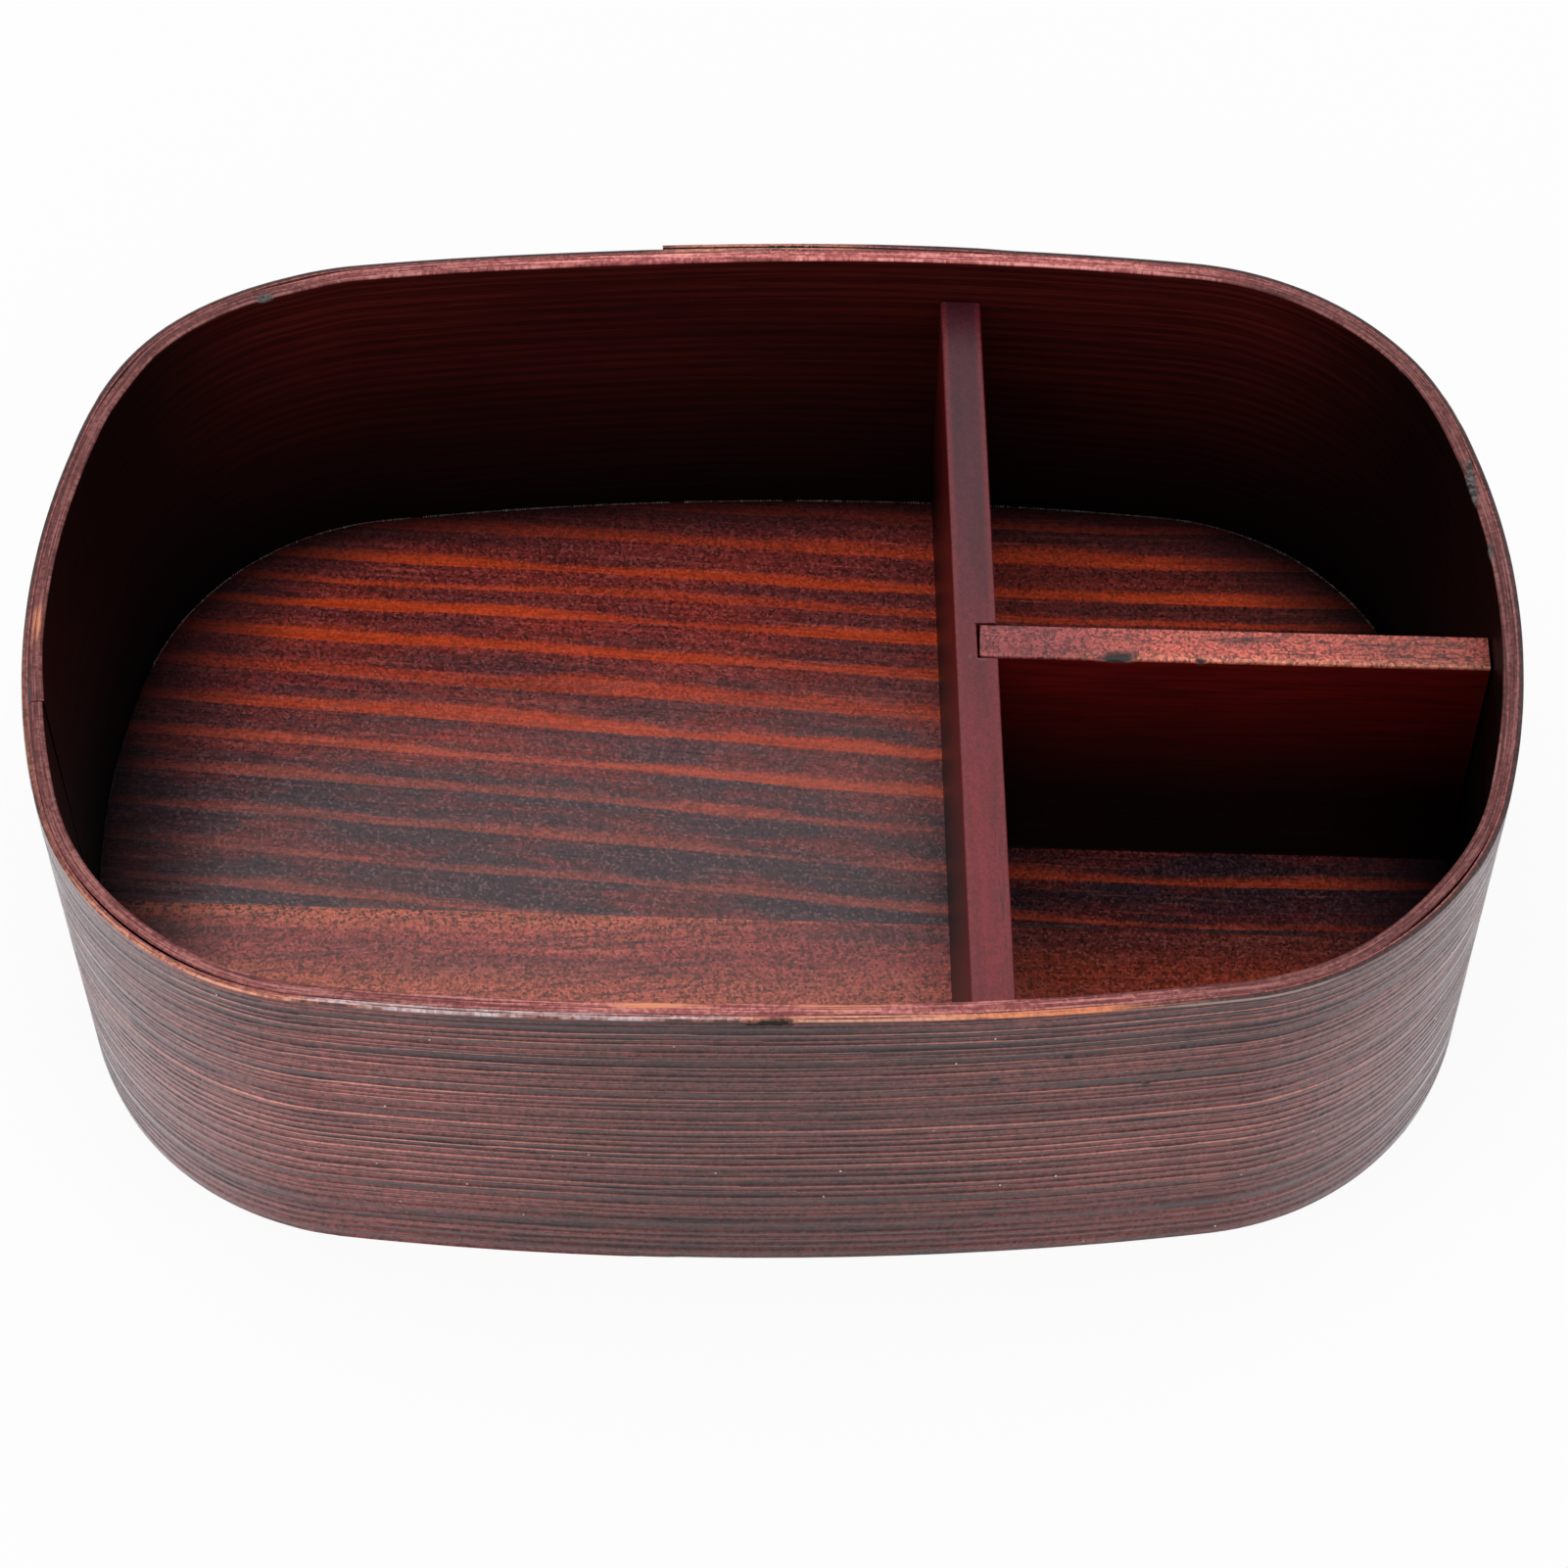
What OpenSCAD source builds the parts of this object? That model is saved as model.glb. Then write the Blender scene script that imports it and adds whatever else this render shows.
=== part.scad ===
// Bentwood lunch box: a wall of two bent plies round a glued-up floor, with two loose dividers.
// Millimetres, +Z up. The origin is on the table, under the middle of the box.
// +X is to the right, along the length, and +Y is to the back.

/* [Box] */
// Outside length, left to right
box_len = 200; // [170:1:240]
// Outside depth, front to back
box_dep = 130; // [115:1:150]
// Height from the table to the rim
box_h = 62; // [58:0.5:90]
// Outside radius of the bowed front and back
long_side_r = 490; // [350:5:900]
// Outside radius of the bowed left and right ends
short_side_r = 112; // [100:1:160]
// Outside radius of the four corners
corner_r = 43; // [30:0.5:48]

/* [Bent wall] */
// Thickness of the inner ply
inner_ply_t = 1.8; // [1:0.1:3]
// Thickness of the outer ply
outer_ply_t = 1; // [0.7:0.05:2]
// Thickness of each glue line
glue_t = 0.05; // [0.02:0.01:0.1]
// Length of the outer ply's lap on the back
lap_len = 44.4; // [25:0.1:60]
// Middle of the lap, right of the box's middle
lap_x = 6.6; // [-15:0.1:15]
// Height of the step where the lap's free end stands proud, on the left
lap_step = 0.65; // [0.4:0.05:0.9]
// Height of the step at the lap's right-hand end
lap_rise = 0.2; // [0.1:0.05:0.3]
// Thickness left at the feathered end beneath the lap
feather_t = 0.15; // [0.1:0.05:0.3]
// Butt joint of the inner ply on the left end, in front of the box's middle
butt_y = 14.8; // [0:0.1:25]
// Width of the line at the butt joint
butt_gap = 0.15; // [0.05:0.05:0.3]

/* [Floor] */
// Thickness of the floor boards
floor_t = 5.5; // [3:0.1:8]
// Height of the floor's underside above the table
floor_recess = 1.5; // [0:0.1:3]
// Edge joint between the two boards, in front of the box's middle
floor_joint_y = 14.2; // [-40:0.1:40]
// Angle at which the glued-up panel was cut, off the box's length
floor_joint_angle = -2.2; // [-5:0.1:5]

/* [Dividers] */
// Height of the dividers above the floor
divider_h = 46.8; // [25:0.1:50]
// Thickness of the long divider
long_t = 5.8; // [4:0.1:8]
// Thickness of the short divider
short_t = 5.4; // [3:0.1:8]
// Middle of the long divider, right of the box's middle
long_x = 27.6; // [-5:0.1:40]
// Turn of the long divider out of square, in degrees
long_skew = 0.6; // [-1:0.1:1]
// Middle of the groove for the short divider, behind the box's middle
groove_y = 0.7; // [-15:0.1:15]
// Depth of the groove in the long divider
groove_depth = 2.7; // [1.5:0.1:3.5]
// Turn of the short divider out of square, in degrees
short_skew = -2; // [-2.5:0.1:2.5]
// Slack between a divider's end and the wall or the groove
end_slack = 0.3; // [0.2:0.05:0.8]
// Slack on each side of the short divider in its groove
groove_slack = 0.25; // [0.2:0.05:0.5]

/* [Hidden] */
$fn = 180;

half_len = box_len / 2;
half_dep = box_dep / 2;
wall_t = outer_ply_t + glue_t + inner_ply_t;
floor_top = floor_recess + floor_t;
beyond = box_len + box_dep;

// Centres of the arcs: the back's, the right end's, and the corner's, which touches both from inside.
back_centre = [0, half_dep - long_side_r];
right_centre = [half_len - short_side_r, 0];
centre_line = right_centre - back_centre;
centre_gap = norm(centre_line);
along = ((long_side_r - corner_r) ^ 2 - (short_side_r - corner_r) ^ 2 + centre_gap ^ 2) / (2 * centre_gap);
aside = sqrt((long_side_r - corner_r) ^ 2 - along ^ 2);
unit = centre_line / centre_gap;
corner_centre = back_centre + along * unit + aside * [unit[1], -unit[0]];

// Angles at which the corner arc meets the right end's arc and the back's arc.
from_back = corner_centre - back_centre;
from_right = corner_centre - right_centre;
right_angle = atan2(from_right[1], from_right[0]);
back_angle = atan2(from_back[1], from_back[0]);

// The lap, as angles about the back's centre, and the turn that lifts the tongue by its thickness.
lap_r = long_side_r - outer_ply_t;
lap_left = lap_x - lap_len / 2;
lap_right = lap_x + lap_len / 2;
lap_left_angle = acos(lap_left / lap_r);
lap_right_angle = acos(lap_right / lap_r);
feather_turn = asin((outer_ply_t - glue_t - feather_t) / lap_len);
feather_gap = asin(glue_t / lap_r);
step_turn = asin((lap_step - lap_rise) / lap_len);

// Outline

module mirrored(v) {
  children();
  mirror(v) children();
}

module disc(centre, r, h) {
  translate(centre) cylinder(r = r, h = h);
}

// The space between the bowed front and back, as far as the tangent points with the corners.
module between_long_sides(inset, h) {
  reach = 2 * (corner_centre[0] + (corner_r - inset) * cos(back_angle));
  intersection() {
    disc(back_centre, long_side_r - inset, h);
    disc(-back_centre, long_side_r - inset, h);
    translate([-reach / 2, -beyond / 2, 0]) cube([reach, beyond, h]);
  }
}

module between_short_ends(inset, h) {
  reach = 2 * (corner_centre[1] + (corner_r - inset) * sin(right_angle));
  intersection() {
    disc(right_centre, short_side_r - inset, h);
    disc(-right_centre, short_side_r - inset, h);
    translate([-beyond / 2, -reach / 2, 0]) cube([beyond, reach, h]);
  }
}

module filled_outline(inset, h) {
  between_long_sides(inset, h);
  between_short_ends(inset, h);
  mirrored([1, 0, 0])
    mirrored([0, 1, 0])
      disc(corner_centre, corner_r - inset, h);
}

// A closed strip of thickness t, its outside face set in from the box's outside.
module bent_ring(inset, t) {
  difference() {
    filled_outline(inset, box_h);
    translate([0, 0, -t]) filled_outline(inset + t, box_h + 2 * t);
  }
}

// Bent wall

// The slice of the back between two angles about the back's centre.
module back_slice(from, to) {
  near = long_side_r - half_dep;
  far = long_side_r + half_dep;
  from_way = [cos(from), sin(from)];
  to_way = [cos(to), sin(to)];
  translate(back_centre)
    linear_extrude(box_h)
      polygon([near * from_way, far * from_way, far * to_way, near * to_way]);
}

// A bent face of radius r, turned about the lap's right-hand end so that it rises to the left.
module lifted_face(r, turn) {
  pivot = back_centre + r * [cos(lap_right_angle), sin(lap_right_angle)];
  translate(pivot)
    rotate(-turn)
      translate(back_centre - pivot)
        cylinder(r = r, h = box_h);
}

// The end that lies beneath, tapering to a feather edge on the right.
module lap_under() {
  intersection() {
    back_slice(lap_right_angle + feather_gap, lap_left_angle);
    difference() {
      lifted_face(lap_r + feather_t, feather_turn);
      disc(back_centre, lap_r, box_h);
    }
  }
}

// The free end that lies over it and stands proud on the left.
module lap_over() {
  intersection() {
    back_slice(lap_right_angle, lap_left_angle);
    difference() {
      lifted_face(long_side_r + lap_rise, step_turn);
      lifted_face(lap_r + feather_t + 2 * glue_t, feather_turn);
    }
  }
}

module outer_ply() {
  color([0.24, 0.12, 0.11]) {
    difference() {
      bent_ring(0, outer_ply_t);
      back_slice(lap_right_angle, lap_left_angle);
    }
    lap_under();
    lap_over();
  }
}

module inner_ply() {
  color([0.18, 0.05, 0.03])
    difference() {
      bent_ring(outer_ply_t + glue_t, inner_ply_t);
      translate([-half_len, -butt_y - butt_gap / 2, 0])
        cube([half_len / 2, butt_gap, box_h]);
    }
}

// Floor

// The half of the panel behind the joint, moved back by half a glue line.
module behind_joint() {
  translate([0, -floor_joint_y, floor_recess])
    rotate(floor_joint_angle)
      translate([-beyond, glue_t / 2, 0])
        cube([2 * beyond, beyond, floor_t]);
}

module in_front_of_joint() {
  translate([0, -floor_joint_y, floor_recess])
    rotate(floor_joint_angle)
      translate([-beyond, -beyond - glue_t / 2, 0])
        cube([2 * beyond, beyond, floor_t]);
}

module floor_panel() {
  translate([0, 0, floor_recess]) filled_outline(wall_t + glue_t, floor_t);
}

module floor_back_board() {
  color([0.42, 0.14, 0.06])
    intersection() {
      floor_panel();
      behind_joint();
    }
}

module floor_front_board() {
  color([0.38, 0.12, 0.07])
    intersection() {
      floor_panel();
      in_front_of_joint();
    }
}

// Dividers

// Places its children at the groove's mouth, squared to the long divider.
module at_groove() {
  translate([long_x, 0, floor_top])
    rotate(long_skew)
      translate([long_t / 2, groove_y, 0])
        children();
}

module groove() {
  width = short_t + 2 * groove_slack;
  at_groove()
    translate([-groove_depth, -width / 2, 0])
      cube([groove_depth + long_t, width, divider_h]);
}

module long_divider() {
  color([0.40, 0.14, 0.13])
    difference() {
      intersection() {
        translate([long_x, 0, floor_top])
          rotate(long_skew)
            translate([-long_t / 2, -half_dep, 0])
              cube([long_t, box_dep, divider_h]);
        translate([0, 0, floor_top]) between_long_sides(wall_t + end_slack, divider_h);
      }
      groove();
    }
}

module short_divider() {
  color([0.46, 0.18, 0.15])
    intersection() {
      at_groove()
        rotate(short_skew - long_skew)
          translate([end_slack - groove_depth, -short_t / 2, 0])
            cube([half_len, short_t, divider_h]);
      translate([0, 0, floor_top]) between_short_ends(wall_t + end_slack, divider_h);
    }
}

inner_ply();
outer_ply();
floor_back_board();
floor_front_board();
long_divider();
short_divider();
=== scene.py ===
import math

import bmesh
import bpy
from bl_math import clamp, lerp
from mathutils import Matrix, Vector, noise


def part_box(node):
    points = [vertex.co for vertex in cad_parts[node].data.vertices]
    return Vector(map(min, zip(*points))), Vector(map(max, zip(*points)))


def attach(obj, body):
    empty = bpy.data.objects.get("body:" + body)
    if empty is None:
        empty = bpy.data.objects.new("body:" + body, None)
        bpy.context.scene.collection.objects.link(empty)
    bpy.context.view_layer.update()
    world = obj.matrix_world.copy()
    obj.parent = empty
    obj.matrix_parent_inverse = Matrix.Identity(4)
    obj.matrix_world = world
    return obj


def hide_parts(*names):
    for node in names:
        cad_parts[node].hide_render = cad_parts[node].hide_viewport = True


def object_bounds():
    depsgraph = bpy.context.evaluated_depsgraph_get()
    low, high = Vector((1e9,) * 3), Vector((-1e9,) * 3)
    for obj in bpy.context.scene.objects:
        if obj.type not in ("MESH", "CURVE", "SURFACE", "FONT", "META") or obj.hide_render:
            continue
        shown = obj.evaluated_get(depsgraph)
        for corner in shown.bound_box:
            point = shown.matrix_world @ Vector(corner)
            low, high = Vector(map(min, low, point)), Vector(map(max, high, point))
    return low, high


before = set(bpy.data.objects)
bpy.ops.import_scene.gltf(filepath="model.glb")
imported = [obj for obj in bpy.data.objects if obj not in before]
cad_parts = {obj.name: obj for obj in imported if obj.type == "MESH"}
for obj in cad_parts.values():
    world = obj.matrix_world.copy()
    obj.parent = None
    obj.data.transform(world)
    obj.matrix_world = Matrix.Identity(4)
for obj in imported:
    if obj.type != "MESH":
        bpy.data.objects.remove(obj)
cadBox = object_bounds()  # the solids' box
mm = 0.001

# heights and reach, read off the solids
boxLow, boxHigh = cadBox
rimHeight = boxHigh.z
halfLength = boxHigh.x
halfDepth = -boxLow.y
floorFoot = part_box("floor_back_board")[0].z
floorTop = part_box("floor_back_board")[1].z
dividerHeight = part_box("long_divider")[1].z - floorTop
print("frame loaded:", len(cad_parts), "solids")


# node trees: what comes out of a node adds and multiplies like a number

class Wire:
    def __init__(self, socket):
        self.socket = socket
        self.tree = socket.id_data

    def __add__(self, other):
        return calc("ADD", self, other)

    def __radd__(self, other):
        return calc("ADD", other, self)

    def __sub__(self, other):
        return calc("SUBTRACT", self, other)

    def __rsub__(self, other):
        return calc("SUBTRACT", other, self)

    def __mul__(self, other):
        return calc("MULTIPLY", self, other)

    def __truediv__(self, other):
        return calc("DIVIDE", self, other)

    def __abs__(self):
        return calc("ABSOLUTE", self)


def feed(socket, value):  # a link, or a plain value on the socket
    if isinstance(value, Wire):
        value = value.socket
    if isinstance(value, bpy.types.NodeSocket):
        socket.id_data.links.new(value, socket)
    else:
        socket.default_value = value


def feedAll(node, inputs):
    for name, value in inputs.items():
        feed(node.inputs[name], value)


def addNode(tree, kind, inputs=None, **settings):
    node = tree.nodes.new(kind)
    for name, value in settings.items():
        setattr(node, name, value)
    feedAll(node, inputs or {})
    return node


def wired(tree, kind, inputs=None, output=0, **settings):
    return Wire(addNode(tree, kind, inputs, **settings).outputs[output])


def treeOf(values):
    return next(value.tree for value in values if isinstance(value, Wire))


def calc(operation, *terms):
    return wired(treeOf(terms), "ShaderNodeMath", dict(enumerate(terms)), operation=operation)


def weave(operation, first, second):  # vector maths
    partner = "Scale" if operation == "SCALE" else 1
    return wired(first.tree, "ShaderNodeVectorMath", {0: first, partner: second}, operation=operation)


def point(*places):
    return wired(treeOf(places), "ShaderNodeCombineXYZ", dict(enumerate(places)))


def fade(value, start, end):  # smooth 0 to 1 between two values
    inputs = {"Value": value, "From Min": start, "From Max": end}
    return wired(value.tree, "ShaderNodeMapRange", inputs, interpolation_type="SMOOTHSTEP")


def rescale(value, low, high):  # 0..1 to low..high
    return wired(value.tree, "ShaderNodeMapRange", {"Value": value, "To Min": low, "To Max": high})


def between(value, low, high, soft):  # 1 inside a range, with soft ends
    return fade(value, low - soft, low + soft) * fade(value, high + soft, high - soft)


def noiseAt(vector, scale=1.0, detail=2.0, roughness=0.5):
    inputs = {"Vector": vector, "Scale": scale, "Detail": detail, "Roughness": roughness}
    return wired(vector.tree, "ShaderNodeTexNoise", inputs)


def mixed(factor, first, second, blend="MIX"):
    given = (factor, first, second)
    node = addNode(treeOf(given), "ShaderNodeMix", data_type="RGBA", blend_type=blend)
    colours = [socket for socket in node.inputs if socket.type == "RGBA"]
    for socket, value in zip((node.inputs[0], *colours), given):
        feed(socket, value)
    return Wire(next(socket for socket in node.outputs if socket.type == "RGBA"))


def tinted(colour, tone):  # lightens or darkens a colour
    return mixed(1.0, colour, tone, "MULTIPLY")


def ramp(factor, *stops):  # stops are (place, colour)
    node = addNode(factor.tree, "ShaderNodeValToRGB", {0: factor})
    elements = node.color_ramp.elements
    while len(elements) < len(stops):
        elements.new(0.5)
    for element, (place, colour) in zip(elements, stops):
        element.position = place
        element.color = colour
    return Wire(node.outputs[0])


def newTree(name, sockets):  # a geometry tree, and what it's given by name
    tree = bpy.data.node_groups.new(name, "GeometryNodeTree")
    for label, kind in sockets.items():
        tree.interface.new_socket(label, in_out="INPUT", socket_type="NodeSocket" + kind)
    tree.interface.new_socket("Geometry", in_out="OUTPUT", socket_type="NodeSocketGeometry")
    given = addNode(tree, "NodeGroupInput").outputs
    return tree, {label: Wire(given[label]) for label in sockets}


def endTree(tree, geometry, material):
    whole = addNode(tree, "GeometryNodeRealizeInstances", {"Geometry": geometry})
    inputs = {"Geometry": whole.outputs["Geometry"], "Material": material}
    painted = addNode(tree, "GeometryNodeSetMaterial", inputs)
    addNode(tree, "NodeGroupOutput", {"Geometry": painted.outputs["Geometry"]})


# the box's line in plan: bowed sides and ends, joined by round corners

plan = {"longSideR": 490 * mm, "shortEndR": 112 * mm, "cornerR": 43 * mm}
longCentre = Vector((0, halfDepth - plan["longSideR"]))
endCentre = Vector((halfLength - plan["shortEndR"], 0))
centreLine = endCentre - longCentre
longReach = plan["longSideR"] - plan["cornerR"]
endReach = plan["shortEndR"] - plan["cornerR"]
alongLine = (longReach ** 2 - endReach ** 2 + centreLine.length_squared) / (2 * centreLine.length)
asideLine = math.sqrt(longReach ** 2 - alongLine ** 2)
lineWay = centreLine.normalized()
cornerCentre = longCentre + alongLine * lineWay + asideLine * Vector((lineWay.y, -lineWay.x))
endTurn = math.atan2(*(cornerCentre - endCentre).yx)
sideTurn = math.atan2(*(cornerCentre - longCentre).yx)


def onOutline(angle, inset):  # the place where the wall faces that way, its outward way and its radius
    way = Vector((math.cos(angle), math.sin(angle), 0))
    turn = math.atan2(abs(way.y), abs(way.x))
    if turn < endTurn:
        centre, radius = endCentre, plan["shortEndR"] - inset
    elif turn < sideTurn:
        centre, radius = cornerCentre, plan["cornerR"] - inset
    else:
        centre, radius = longCentre, plan["longSideR"] - inset
    x = centre.x + radius * math.cos(turn)
    y = centre.y + radius * math.sin(turn)
    return Vector((math.copysign(x, way.x), math.copysign(y, way.y), 0)), way, radius


def halfDepthAt(x, inset):  # how far the line reaches forward and back at x
    x = min(abs(x), halfLength - inset)
    cornerR = plan["cornerR"] - inset
    if x < cornerCentre.x + cornerR * math.cos(sideTurn):
        return longCentre.y + math.sqrt((plan["longSideR"] - inset) ** 2 - x ** 2)
    if x < cornerCentre.x + cornerR * math.cos(endTurn):
        return cornerCentre.y + math.sqrt(cornerR ** 2 - (x - cornerCentre.x) ** 2)
    return math.sqrt(max(0, (plan["shortEndR"] - inset) ** 2 - (x - endCentre.x) ** 2))


def walkWall(inset, start, end, step, marks=(), closeStep=0.3 * mm, closeReach=5 * mm):
    stops = []  # (place, outward way, distance walked, angle), close together beside the marks
    heading = math.copysign(1, end - start)
    angle = start
    walked = 0.0
    while (end - angle) * heading > 0:
        place, way, radius = onOutline(angle, inset)
        stops.append((place, way, walked, angle))
        near = any((place - mark).xy.length < closeReach for mark in marks)
        stride = closeStep if near else step
        ahead = onOutline(angle + heading * stride / radius, inset)[2]
        turn = stride / max(radius, ahead)  # shorter steps where the line is about to straighten
        angle += heading * turn
        walked += turn * radius
    place, way, radius = onOutline(end, inset)
    stops.append((place, way, walked - (angle - end) * heading * radius, end))
    return stops


def bump1d(value, centre, reach):  # 1 at the centre, easing to 0 at the reach
    share = max(0.0, 1 - abs(value - centre) / reach)
    return share * share * (3 - 2 * share)


# the wall isn't quite true: how far the rim leans out, by the angle that it faces
rimLean = {
    "front": (math.radians(-91), math.radians(5.5), -0.5 * mm),
    "frontRight": (math.radians(-50), math.radians(30), -0.25 * mm),
    "right": (math.radians(18), math.radians(16), -0.25 * mm),
    "back": (math.radians(92.5), math.radians(5), -0.45 * mm),
    "backLeft": (math.radians(138), math.radians(30), 1.0 * mm),
}


def leanAt(angle):
    total = 0.0
    for centre, reach, depth in rimLean.values():
        for turn in (-2 * math.pi, 0, 2 * math.pi):
            total += depth * bump1d(angle + turn, centre, reach)
    return total


# strips of wood: a guide line, a closed profile, and a tree that sweeps one along the other

def lineMesh(name, places, closed, fields):
    mesh = bpy.data.meshes.new(name)
    edges = [(i, i + 1) for i in range(len(places) - 1)]
    if closed:
        edges.append((len(places) - 1, 0))
    mesh.from_pydata(places, edges, [])
    for field, values in fields.items():
        if isinstance(values[0], Vector):
            layer = mesh.attributes.new(field, "FLOAT_VECTOR", "POINT")
            layer.data.foreach_set("vector", [part for value in values for part in value])
        else:
            layer = mesh.attributes.new(field, "FLOAT", "POINT")
            layer.data.foreach_set("value", values)
    return mesh


def stripProfile(name, height, nearR, farR, farRows, nearRows, topCells, edgeCells=3):
    # each row: 0 on the near face and 1 on the far one, rounding, height, and the way it faces, out and up
    rows = []
    turns = [math.pi / 2 * i / edgeCells for i in range(1, edgeCells)]
    bends = [(math.cos(turn), math.sin(turn)) for turn in turns]
    for i in range(farRows + 1):
        rows.append((1, 0, farR + (height - 2 * farR) * i / farRows, 1, 0))
    for out, up in bends:
        rows.append((1, farR * (out - 1), height - farR * (1 - up), out, up))
    for i in range(topCells + 1):
        share = i / topCells
        rows.append((1 - share, nearR * share - farR * (1 - share), height, 0, 1))
    for out, up in reversed(bends):
        rows.append((0, nearR * (1 - out), height - nearR * (1 - up), -out, up))
    for i in range(nearRows + 1):
        rows.append((0, 0, height - nearR - (height - 2 * nearR) * i / nearRows, -1, 0))
    for out, up in bends:
        rows.append((0, nearR * (1 - out), nearR * (1 - up), -out, -up))
    rows.append((0, nearR, 0, 0, -1))
    rows.append((1, -farR, 0, 0, -1))
    for out, up in reversed(bends):
        rows.append((1, farR * (out - 1), farR * (1 - up), out, -up))
    fields = dict(zip(("across", "ease", "rise", "faceOut", "faceUp"), zip(*rows)))
    places = [(row[0] * height / 10 + row[1], row[2], 0) for row in rows]
    return bpy.data.objects.new(name, lineMesh(name, places, True, fields))


def stripTree():
    sizes = ("Full height", "Full thickness", "Seed", "Ring pitch", "Ring crowding", "Ring wander",
             "Ring relief", "Fibre relief")
    kinds = {"Geometry": "Geometry", "Profile": "Object", "Material": "Material"}
    tree, given = newTree("bentStrip", {**kinds, **dict.fromkeys(sizes, "Float")})

    def field(name, kind="FLOAT"):
        return wired(tree, "GeometryNodeInputNamedAttribute", {"Name": name}, "Attribute", data_type=kind)

    rail = addNode(tree, "GeometryNodeMeshToCurve", {"Mesh": given["Geometry"]})
    shape = addNode(tree, "GeometryNodeObjectInfo", {"Object": given["Profile"]})
    loop = addNode(tree, "GeometryNodeMeshToCurve", {"Mesh": shape.outputs["Geometry"]})
    sweep = addNode(tree, "GeometryNodeCurveToMesh", {
        "Curve": rail.outputs["Curve"], "Profile Curve": loop.outputs["Curve"], "Fill Caps": True,
    })

    # growth rings: nearly level lines that wander along the strip and bunch up its height
    along, rise, across = field("along"), field("rise"), field("across")
    swirl = noiseAt(point(along * 11.0, rise * 22.0, given["Seed"]), 1.0, 1.5)
    height = rise + (swirl - 0.5) * given["Ring wander"] * 2
    crowd = height / given["Full height"] * given["Ring crowding"]
    level = height * (crowd + 1.0) / given["Ring pitch"]
    bunch = noiseAt(point(level * 0.45, given["Seed"], 0.0), 1.0, 1.0)
    rings = level + (bunch - 0.5) * 2.4
    hollow = 1.0 - fade(calc("FRACT", rings), 0.4, 0.9)
    fibre = noiseAt(point(along * 160.0, rise * 1100.0, across * 4.0), 1.0, 2.0)
    fibreDip = fibre * given["Fibre relief"]

    thin = calc("MINIMUM", field("thickness") / given["Full thickness"], 1.0)
    tall = calc("POWER", rise / given["Full height"], 2.0)
    dip = (hollow * given["Ring relief"] + fibreDip) * thin
    sideways = field("lift") + across * field("thickness") + field("ease") * thin + field("lean") * tall
    sideways -= field("faceOut") * dip
    upward = rise - field("faceUp") * fibreDip
    place = weave("SCALE", field("outward", "FLOAT_VECTOR"), sideways)
    place = weave("ADD", place, field("foot", "FLOAT_VECTOR"))
    place = weave("ADD", place, point(0.0, 0.0, upward))
    marked = addNode(tree, "GeometryNodeStoreNamedAttribute", {
        "Geometry": sweep.outputs["Mesh"], "Name": "rings", "Value": rings,
    }, data_type="FLOAT", domain="POINT")
    settled = addNode(tree, "GeometryNodeSetPosition", {
        "Geometry": marked.outputs["Geometry"], "Position": place,
    })
    endTree(tree, settled.outputs["Geometry"], given["Material"])
    return tree


def plainMesh(obj, tree, settings):  # runs a tree on an object and keeps what it makes as a plain mesh
    modifier = obj.modifiers.new(tree.name, "NODES")
    modifier.node_group = tree
    for item in tree.interface.items_tree:
        if item.in_out == "INPUT" and item.name in settings:
            modifier[item.identifier] = settings[item.name]
    bpy.context.scene.collection.objects.link(obj)
    bpy.context.view_layer.update()
    made = obj.evaluated_get(bpy.context.evaluated_depsgraph_get())
    mesh = bpy.data.meshes.new_from_object(made)
    obj.modifiers.clear()
    guide = obj.data
    obj.data = mesh
    mesh.name = obj.name
    bpy.data.meshes.remove(guide)
    return mesh


def tidyMesh(mesh, sharpTurn=math.radians(50)):
    work = bmesh.new()
    work.from_mesh(mesh)
    bmesh.ops.recalc_face_normals(work, faces=work.faces)
    work.to_mesh(mesh)
    work.free()
    mesh.shade_smooth()
    mesh.set_sharp_from_angle(angle=sharpTurn)


sweepTree = stripTree()
strayFields = ("foot", "outward", "thickness", "lift", "lean", "ease", "faceOut", "faceUp")


def sweepStrip(name, size, material, height, full, foot, outward, along, thickness, lift=None, lean=None):
    level = [0.0] * len(foot)
    guide = lineMesh(name + "Guide", foot, False, {
        "foot": foot, "outward": outward, "along": along, "thickness": thickness,
        "lift": lift or level, "lean": lean or level,
    })
    profile = stripProfile(name + "Profile", height, size["nearEdge"], size["farEdge"], **size["cells"])
    bpy.context.scene.collection.objects.link(profile)
    obj = bpy.data.objects.new(name, guide)
    mesh = plainMesh(obj, sweepTree, {
        "Profile": profile, "Material": material,
        "Full height": height, "Full thickness": full, **size["grain"],
    })
    bpy.data.objects.remove(profile)
    for field in strayFields:
        mesh.attributes.remove(mesh.attributes[field])
    for field in ("chip", "bare"):
        mesh.attributes.new(field, "FLOAT", "POINT")
    tidyMesh(mesh)
    return obj


# how a break in an edge looks, whatever its place, reach and push
breakage = {
    "fray": 1.5,                                   # how many times its reach it can spread
    "ragged": ((0.3, 1.3 * mm), (0.2, 0.5 * mm)),  # strength and grain of its outline
    "steepness": 2.4,
    "depth": (0.8, 0.4, 0.6 * mm),                 # least, unevenness and its grain
}


def chipPlaces(chips):
    return [Vector(chip[0]) * mm for chip in chips]


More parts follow.
